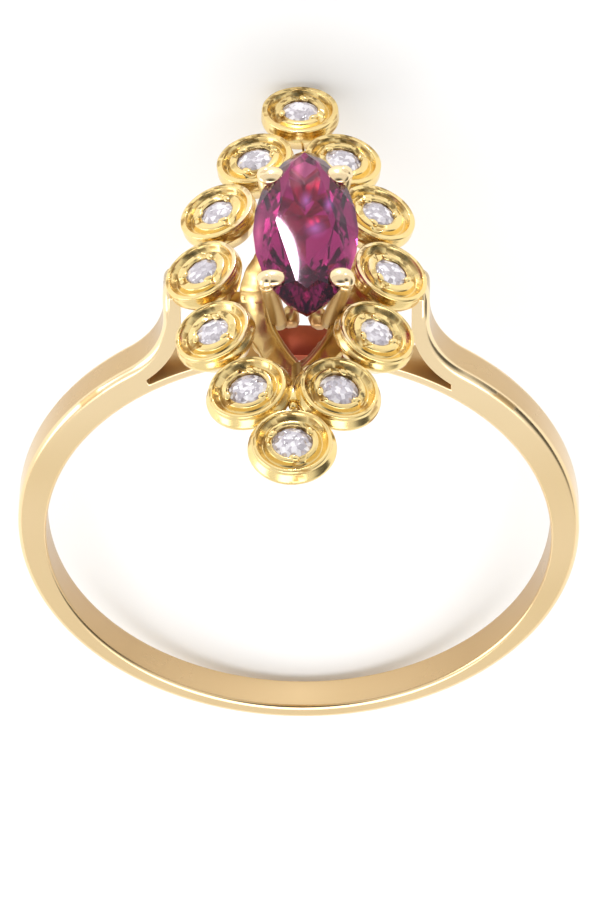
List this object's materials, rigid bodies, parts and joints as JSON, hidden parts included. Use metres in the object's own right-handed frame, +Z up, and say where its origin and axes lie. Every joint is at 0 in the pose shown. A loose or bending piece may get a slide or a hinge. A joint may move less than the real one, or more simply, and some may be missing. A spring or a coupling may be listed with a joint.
{
  "type": "navette ring",
  "caption": "Gold finger ring with a raised marquise stone in claws inside a lozenge of small round stones in collets, on a slim band with forked shoulders.",
  "frame": {"origin": "on the surface that the ring rests on, under the centre of its bounding box", "axes": "the ring lies on its side: +Z is up, +Y runs from the head to the back of the band, and +X runs across the finger; the finger hole's axis leans about 22 degrees from +Z towards +Y"},
  "size_m": [0.0188, 0.0232, 0.0169],
  "materials": {
    "gold": "polished yellow gold, worn satin in the recesses",
    "ruby": "faceted and polished",
    "diamond": "faceted and polished"
  },
  "bodies": {
    "root": {"gold_mount": "gold", "ruby": "ruby", "diamond_01": "diamond", "diamond_02": "diamond", "diamond_03": "diamond", "diamond_04": "diamond", "diamond_05": "diamond", "diamond_06": "diamond", "diamond_07": "diamond", "diamond_08": "diamond", "diamond_09": "diamond", "diamond_10": "diamond", "diamond_11": "diamond", "diamond_12": "diamond"}
  },
  "joints": []
}
